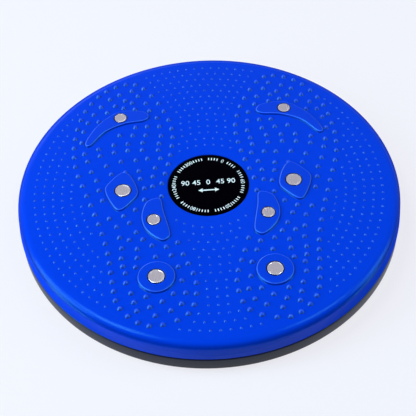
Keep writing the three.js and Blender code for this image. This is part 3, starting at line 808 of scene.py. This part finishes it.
def moulding_group():
    """Moulded plastic and rubber: a slow drift of the colour, a fine skin and a cloudy gloss."""
    tree = bpy.data.node_groups.new("moulded_skin", "ShaderNodeTree")
    interface = tree.interface
    colour = interface.new_socket("Color", in_out="INPUT", socket_type="NodeSocketColor")
    colour.default_value = (0.5, 0.5, 0.5, 1)
    for name, value in (("Drift", 0.06), ("Skin Scale", 900.0), ("Gloss", 0.25), ("Cloud", 0.08)):
        socket = interface.new_socket(name, in_out="INPUT", socket_type="NodeSocketFloat")
        socket.default_value = value
    interface.new_socket("Color", in_out="OUTPUT", socket_type="NodeSocketColor")
    interface.new_socket("Roughness", in_out="OUTPUT", socket_type="NodeSocketFloat")
    interface.new_socket("Height", in_out="OUTPUT", socket_type="NodeSocketFloat")
    start = tree.nodes.new("NodeGroupInput")
    end = tree.nodes.new("NodeGroupOutput")
    place = tree.nodes.new("ShaderNodeTexCoord")
    slow = add_node(tree, "ShaderNodeTexNoise", Scale=22.0, Detail=2.0)
    skin = add_node(tree, "ShaderNodeTexNoise", Detail=3.0)
    cloud = add_node(tree, "ShaderNodeTexNoise", Scale=70.0, Detail=4.0)
    around = add_node(tree, "ShaderNodeMath", operation="SUBTRACT")
    around.inputs[1].default_value = 0.5
    shift = add_node(tree, "ShaderNodeMath", operation="MULTIPLY_ADD")
    shift.inputs[2].default_value = 1.0
    tint = add_node(tree, "ShaderNodeHueSaturation")
    level = add_node(tree, "ShaderNodeMath", operation="SUBTRACT")
    level.inputs[1].default_value = 0.5
    gloss = add_node(tree, "ShaderNodeMath", operation="MULTIPLY_ADD")
    link = tree.links.new
    for texture in (slow, skin, cloud):
        link(place.outputs["Object"], texture.inputs["Vector"])
    link(start.outputs["Skin Scale"], skin.inputs["Scale"])
    link(slow.outputs["Fac"], around.inputs[0])
    link(around.outputs[0], shift.inputs[0])
    link(start.outputs["Drift"], shift.inputs[1])
    link(start.outputs["Color"], tint.inputs["Color"])
    link(shift.outputs[0], tint.inputs["Value"])
    link(cloud.outputs["Fac"], level.inputs[0])
    link(level.outputs[0], gloss.inputs[0])
    link(start.outputs["Cloud"], gloss.inputs[1])
    link(start.outputs["Gloss"], gloss.inputs[2])
    link(tint.outputs["Color"], end.inputs["Color"])
    link(gloss.outputs[0], end.inputs["Roughness"])
    link(skin.outputs["Fac"], end.inputs["Height"])
    return tree


def plating_group():
    """Worked metal: fine marks drawn out along Y, in the roughness and the height."""
    tree = bpy.data.node_groups.new("worked_metal", "ShaderNodeTree")
    interface = tree.interface
    for name, value in (("Gloss", 0.3), ("Marks", 0.15), ("Mark Scale", 500.0)):
        socket = interface.new_socket(name, in_out="INPUT", socket_type="NodeSocketFloat")
        socket.default_value = value
    interface.new_socket("Roughness", in_out="OUTPUT", socket_type="NodeSocketFloat")
    interface.new_socket("Height", in_out="OUTPUT", socket_type="NodeSocketFloat")
    start = tree.nodes.new("NodeGroupInput")
    end = tree.nodes.new("NodeGroupOutput")
    place = tree.nodes.new("ShaderNodeTexCoord")
    stretch = add_node(tree, "ShaderNodeMapping")
    stretch.inputs["Scale"].default_value = (1.0, 0.12, 1.0)
    marks = add_node(tree, "ShaderNodeTexNoise", Detail=5.0)
    level = add_node(tree, "ShaderNodeMath", operation="SUBTRACT")
    level.inputs[1].default_value = 0.5
    gloss = add_node(tree, "ShaderNodeMath", operation="MULTIPLY_ADD")
    link = tree.links.new
    link(place.outputs["Object"], stretch.inputs["Vector"])
    link(stretch.outputs["Vector"], marks.inputs["Vector"])
    link(start.outputs["Mark Scale"], marks.inputs["Scale"])
    link(marks.outputs["Fac"], level.inputs[0])
    link(level.outputs[0], gloss.inputs[0])
    link(start.outputs["Marks"], gloss.inputs[1])
    link(start.outputs["Gloss"], gloss.inputs[2])
    link(gloss.outputs[0], end.inputs["Roughness"])
    link(marks.outputs["Fac"], end.inputs["Height"])
    return tree


def new_material(name):
    """A material with its node tree and its shader."""
    material = bpy.data.materials.new(name)
    material.use_nodes = True
    tree = material.node_tree
    return material, tree, tree.nodes["Principled BSDF"]


def place_group(tree, group, **values):
    """Puts a node group into a tree; the names of its inputs are written with underscores for spaces."""
    node = tree.nodes.new("ShaderNodeGroup")
    node.node_tree = group
    for name, value in values.items():
        node.inputs[name.replace("_", " ")].default_value = value
    return node


def add_bump(tree, height, shader, distance):
    """Lets a height stand out from the shader's surface by a distance in metres."""
    bump = add_node(tree, "ShaderNodeBump", Strength=BUMP_STRENGTH, Distance=distance)
    tree.links.new(height, bump.inputs["Height"])
    tree.links.new(bump.outputs["Normal"], shader.inputs["Normal"])


def moulded(name, group, colour, gloss, specular=0.5, skin=900.0, cloud=0.06, tint=(1, 1, 1)):
    """A moulded plastic or rubber from the shared group, with its own colour, gloss and skin."""
    material, tree, shader = new_material(name)
    finish = place_group(tree, group, Color=(*colour, 1), Skin_Scale=skin, Gloss=gloss, Cloud=cloud)
    tree.links.new(finish.outputs["Color"], shader.inputs["Base Color"])
    tree.links.new(finish.outputs["Roughness"], shader.inputs["Roughness"])
    shader.inputs["Specular IOR Level"].default_value = specular
    shader.inputs["Specular Tint"].default_value = (*tint, 1)
    add_bump(tree, finish.outputs["Height"], shader, SKIN_DEPTH)
    return material


def satin_edges(material, start, end, added):
    """Adds to a material's roughness where it is seen edge-on: nothing up to start, all of it from end."""
    tree = material.node_tree
    socket = tree.nodes["Principled BSDF"].inputs["Roughness"]
    gloss = socket.links[0].from_socket
    facing = add_node(tree, "ShaderNodeLayerWeight", Blend=0.5)
    rise = add_node(tree, "ShaderNodeMapRange", interpolation_type="SMOOTHSTEP")
    rise.inputs["From Min"].default_value = start
    rise.inputs["From Max"].default_value = end
    rise.inputs["To Max"].default_value = added
    total = add_node(tree, "ShaderNodeMath", operation="ADD", use_clamp=True)
    tree.links.new(facing.outputs["Facing"], rise.inputs["Value"])
    tree.links.new(gloss, total.inputs[0])
    tree.links.new(rise.outputs["Result"], total.inputs[1])
    tree.links.new(total.outputs[0], socket)


def away_from_height(tree, middle, reach, least):
    """A value that rises smoothly from the least one at the middle height to 1 at the reach from it."""
    place = tree.nodes.new("ShaderNodeTexCoord")
    split = tree.nodes.new("ShaderNodeSeparateXYZ")
    away = add_node(tree, "ShaderNodeMath", operation="SUBTRACT")
    away.inputs[1].default_value = middle * MM
    distance = add_node(tree, "ShaderNodeMath", operation="ABSOLUTE")
    rise = add_node(tree, "ShaderNodeMapRange", interpolation_type="SMOOTHSTEP")
    rise.inputs["From Max"].default_value = reach * MM
    rise.inputs["To Min"].default_value = least
    tree.links.new(place.outputs["Object"], split.inputs[0])
    tree.links.new(split.outputs["Z"], away.inputs[0])
    tree.links.new(away.outputs[0], distance.inputs[0])
    tree.links.new(distance.outputs[0], rise.inputs["Value"])
    return rise.outputs["Result"]


def shaded_fold(material, middle, reach, share):
    """Darkens a material's colour in a fold with painted shade: only a share of it is left at the middle
    height.
    """
    tree = material.node_tree
    socket = tree.nodes["Principled BSDF"].inputs["Base Color"]
    colour = socket.links[0].from_socket
    shade = add_node(tree, "ShaderNodeMixRGB", blend_type="MULTIPLY", Fac=1.0)
    tree.links.new(colour, shade.inputs["Color1"])
    tree.links.new(away_from_height(tree, middle, reach, share), shade.inputs["Color2"])
    tree.links.new(shade.outputs["Color"], socket)


def painted_edge_highlight(material, middle, reach, edge):
    """Paints a highlight along a material's edge: a lighter colour of its own at the middle height, which
    fades out by the reach.
    """
    tree = material.node_tree
    socket = tree.nodes["Principled BSDF"].inputs["Base Color"]
    colour = socket.links[0].from_socket
    mix = add_node(tree, "ShaderNodeMixRGB", Color1=(*edge, 1))
    tree.links.new(away_from_height(tree, middle, reach, 0.0), mix.inputs["Fac"])
    tree.links.new(colour, mix.inputs["Color2"])
    tree.links.new(mix.outputs["Color"], socket)


def plated(name, group, colour, gloss, marks=0.15, depth=MARK_DEPTH):
    """A metal from the shared group, with its own colour and marks."""
    material, tree, shader = new_material(name)
    finish = place_group(tree, group, Gloss=gloss, Marks=marks)
    shader.inputs["Base Color"].default_value = (*colour, 1)
    shader.inputs["Metallic"].default_value = 1.0
    tree.links.new(finish.outputs["Roughness"], shader.inputs["Roughness"])
    add_bump(tree, finish.outputs["Height"], shader, depth)
    return material


# Studio
def background_factor(tree):
    """1 for camera, glossy and transmission rays, which see the plain background, and 0 for the others."""
    path = tree.nodes.new("ShaderNodeLightPath")
    first = add_node(tree, "ShaderNodeMath", operation="MAXIMUM")
    second = add_node(tree, "ShaderNodeMath", operation="MAXIMUM")
    tree.links.new(path.outputs["Is Camera Ray"], first.inputs[0])
    tree.links.new(path.outputs["Is Glossy Ray"], first.inputs[1])
    tree.links.new(first.outputs[0], second.inputs[0])
    tree.links.new(path.outputs["Is Transmission Ray"], second.inputs[1])
    return second.outputs[0]


def studio_floor():
    """A pale floor. What looks at it sees a share of plain colour, the rest is lit and keeps the shadow."""
    half = FLOOR_HALF_WIDTH
    corners = np.array([(-half, -half, 0), (half, -half, 0), (half, half, 0), (-half, half, 0)])
    mesh = bpy.data.meshes.new("studio_floor")
    mesh.from_pydata(corners * MM, [], [(0, 1, 2, 3)])
    floor = bpy.data.objects.new("studio_floor", mesh)
    bpy.context.scene.collection.objects.link(floor)
    material, tree, shader = new_material("pale_floor")
    shader.inputs["Base Color"].default_value = (0.5, 0.495, 0.54, 1)
    shader.inputs["Roughness"].default_value = 0.9
    shader.inputs["Specular IOR Level"].default_value = 0.1
    plain = add_node(tree, "ShaderNodeEmission", Color=(0.965, 0.945, 1, 1), Strength=1.13)
    share = add_node(tree, "ShaderNodeMath", operation="MULTIPLY")
    share.inputs[1].default_value = FLOOR_PLAIN_SHARE
    mix = tree.nodes.new("ShaderNodeMixShader")
    tree.links.new(background_factor(tree), share.inputs[0])
    tree.links.new(share.outputs[0], mix.inputs["Fac"])
    tree.links.new(shader.outputs["BSDF"], mix.inputs[1])
    tree.links.new(plain.outputs["Emission"], mix.inputs[2])
    tree.links.new(mix.outputs["Shader"], tree.nodes["Material Output"].inputs["Surface"])
    mesh.materials.append(material)


def studio_world():
    """Even light from all round. Where it is seen, it is a room with pale blue walls and a grey ceiling that
    gets dark towards the front."""
    world = bpy.data.worlds.new("studio_world")
    world.use_nodes = True
    tree = world.node_tree
    light = tree.nodes["Background"]
    light.inputs["Color"].default_value = (0.95, 0.97, 1, 1)
    light.inputs["Strength"].default_value = 0.1
    room = tree.nodes.new("ShaderNodeBackground")
    place = tree.nodes.new("ShaderNodeTexCoord")
    split = tree.nodes.new("ShaderNodeSeparateXYZ")
    rise = add_node(tree, "ShaderNodeMapRange", interpolation_type="SMOOTHSTEP")
    rise.inputs["From Min"].default_value = 0.1
    rise.inputs["From Max"].default_value = 0.6
    wall = tree.nodes.new("ShaderNodeMixRGB")
    wall.inputs["Color1"].default_value = (0.72, 0.84, 1, 1)
    depth = add_node(tree, "ShaderNodeMapRange", interpolation_type="SMOOTHSTEP")
    depth.inputs["From Min"].default_value = -0.1
    depth.inputs["From Max"].default_value = 0.55
    ceiling = tree.nodes.new("ShaderNodeMixRGB")
    ceiling.inputs["Color1"].default_value = (0.06, 0.07, 0.1, 1)
    ceiling.inputs["Color2"].default_value = (0.45, 0.44, 0.48, 1)
    tree.links.new(place.outputs["Generated"], split.inputs[0])
    tree.links.new(split.outputs["Y"], depth.inputs["Value"])
    tree.links.new(depth.outputs["Result"], ceiling.inputs["Fac"])
    tree.links.new(ceiling.outputs["Color"], wall.inputs["Color2"])
    tree.links.new(split.outputs["Z"], rise.inputs["Value"])
    tree.links.new(rise.outputs["Result"], wall.inputs["Fac"])
    tree.links.new(wall.outputs["Color"], room.inputs["Color"])
    mix = tree.nodes.new("ShaderNodeMixShader")
    tree.links.new(background_factor(tree), mix.inputs["Fac"])
    tree.links.new(light.outputs["Background"], mix.inputs[1])
    tree.links.new(room.outputs["Background"], mix.inputs[2])
    tree.links.new(mix.outputs["Shader"], tree.nodes["World Output"].inputs["Surface"])
    bpy.context.scene.world = world


def soft_box(name, place, aim, width, height, power, colour):
    """A rectangular lamp at a place in millimetres, turned towards its aim."""
    light = bpy.data.lights.new(name, "AREA")
    light.shape = "RECTANGLE"
    light.size = width * MM
    light.size_y = height * MM
    light.energy = power
    light.color = colour
    lamp = bpy.data.objects.new(name, light)
    lamp.location = Vector(place) * MM
    direction = (Vector(aim) - Vector(place)).normalized()
    lamp.rotation_euler = direction.to_track_quat("-Z", "Y").to_euler()
    bpy.context.scene.collection.objects.link(lamp)


def studio_camera():
    """The photograph's view: back along the elevation, then rolled, then turned round the pivot."""
    back = Vector((0, -math.cos(CAMERA_ELEVATION), math.sin(CAMERA_ELEVATION)))
    level = Vector((1, 0, 0))
    upright = back.cross(level)
    right = level * math.cos(CAMERA_ROLL) + upright * math.sin(CAMERA_ROLL)
    up = upright * math.cos(CAMERA_ROLL) - level * math.sin(CAMERA_ROLL)
    place = (Vector(CAMERA_TARGET) + back * CAMERA_DISTANCE) * MM
    axes = Matrix((right, up, back)).transposed().to_4x4()
    data = bpy.data.cameras.new("studio_camera")
    data.sensor_width = SENSOR_WIDTH
    data.lens = FOCAL_PIXELS / FRAME_PIXELS * SENSOR_WIDTH
    camera = bpy.data.objects.new("studio_camera", data)
    camera.matrix_world = Matrix.Rotation(CAMERA_AZIMUTH, 4, "Z") @ Matrix.Translation(place) @ axes
    bpy.context.scene.collection.objects.link(camera)
    bpy.context.scene.camera = camera


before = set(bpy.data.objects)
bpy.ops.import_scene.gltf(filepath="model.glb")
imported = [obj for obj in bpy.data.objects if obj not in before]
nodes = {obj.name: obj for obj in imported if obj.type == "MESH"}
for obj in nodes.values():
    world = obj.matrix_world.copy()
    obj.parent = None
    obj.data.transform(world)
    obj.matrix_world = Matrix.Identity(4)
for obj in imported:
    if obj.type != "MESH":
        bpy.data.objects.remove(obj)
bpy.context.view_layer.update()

studio_camera()
studio_floor()
studio_world()
for box in SOFT_BOXES:
    soft_box(*box)

skin = moulding_group()
metal = plating_group()
blue_abs = moulded("blue_abs", skin, (0.0, 0.041, 0.63), gloss=0.2, specular=0.16, tint=(0.15, 0.85, 1))
rubbed_abs = moulded("rubbed_abs", skin, (0.0, 0.034, 0.6), gloss=0.28, specular=1.0, cloud=0.1,
                     tint=(0.3, 0.85, 1))
nub_abs = moulded("nub_abs", skin, (0.0, 0.03, 0.66), gloss=0.3, specular=1.0, cloud=0.1,
                  tint=(0.3, 0.85, 1))
pad_abs = moulded("pad_abs", skin, (0.0, 0.037, 0.61), gloss=0.24, specular=0.45, tint=(0.1, 0.75, 1))
for plastic in (blue_abs, rubbed_abs, nub_abs, pad_abs):
    satin_edges(plastic, start=0.34, end=0.74, added=0.75)
# Painted shade: darker colour along the crease at the foot of the shoulder and round the feet of the nubs
# and pads
shaded_fold(blue_abs, middle=SHOULDER_END_Z + 0.5, reach=1.5, share=0.58)
shaded_fold(nub_abs, middle=FACE_Z, reach=1.0, share=0.25)
shaded_fold(pad_abs, middle=FACE_Z, reach=0.8, share=0.35)
# Painted highlight: a lighter colour along the pads' rounded top edges
painted_edge_highlight(pad_abs, middle=PAD_Z - 0.22, reach=0.22, edge=(0.06, 0.19, 0.95))
dark_abs = moulded("dark_abs", skin, (0.005, 0.007, 0.022), gloss=0.4, specular=0.28)
label_black = moulded("label_black", skin, (0.0, 0.0, 0.001), gloss=0.3, specular=0.01)
# Painted shade: the dark colour of the rings in the magnets' gaps
painted_gap_shade = moulded("painted_gap_shade", skin, (0.0, 0.004, 0.05), gloss=0.5, specular=0.05)
label_ink = moulded("label_ink", skin, (0.85, 0.85, 0.88), gloss=0.5, specular=0.3)
cage_nylon = moulded("cage_nylon", skin, (0.68, 0.64, 0.55), gloss=0.5)
bush_nylon = moulded("bush_nylon", skin, (0.78, 0.76, 0.7), gloss=0.45)
foot_rubber = moulded("foot_rubber", skin, (0.012, 0.012, 0.013), gloss=0.8, specular=0.3, skin=1600.0)
magnet_plating = plated("magnet_plating", metal, (0.84, 0.79, 0.85), gloss=0.27, marks=0.06,
                        depth=FINE_MARK_DEPTH)
zinc_steel = plated("zinc_steel", metal, (0.6, 0.61, 0.62), gloss=0.38)
ball_steel = plated("ball_steel", metal, (0.75, 0.76, 0.78), gloss=0.1, marks=0.03)

foot_plate(blue_abs)
tips = nub_places(nodes["top_plate"])
massage_nubs(tips, nub_abs)
pad_points = pads_and_magnets(pad_abs, magnet_plating, painted_gap_shade)
fine_nubs(fine_nub_places(np.vstack([tips[:, :2], pad_points])), rubbed_abs)
label_disc(label_black)
label_print(label_ink)
base_tray(dark_abs)
rubber_feet(foot_rubber)
race_balls(ball_steel)

for name, material in (
    ("ball_cage", cage_nylon),
    ("pivot_bush", bush_nylon),
    ("pivot_bolt", zinc_steel),
    ("pivot_washer", zinc_steel),
    ("pivot_nut", zinc_steel),
):
    nodes[name].data.materials.clear()
    nodes[name].data.materials.append(material)

bpy.context.scene.view_settings.view_transform = "Standard"
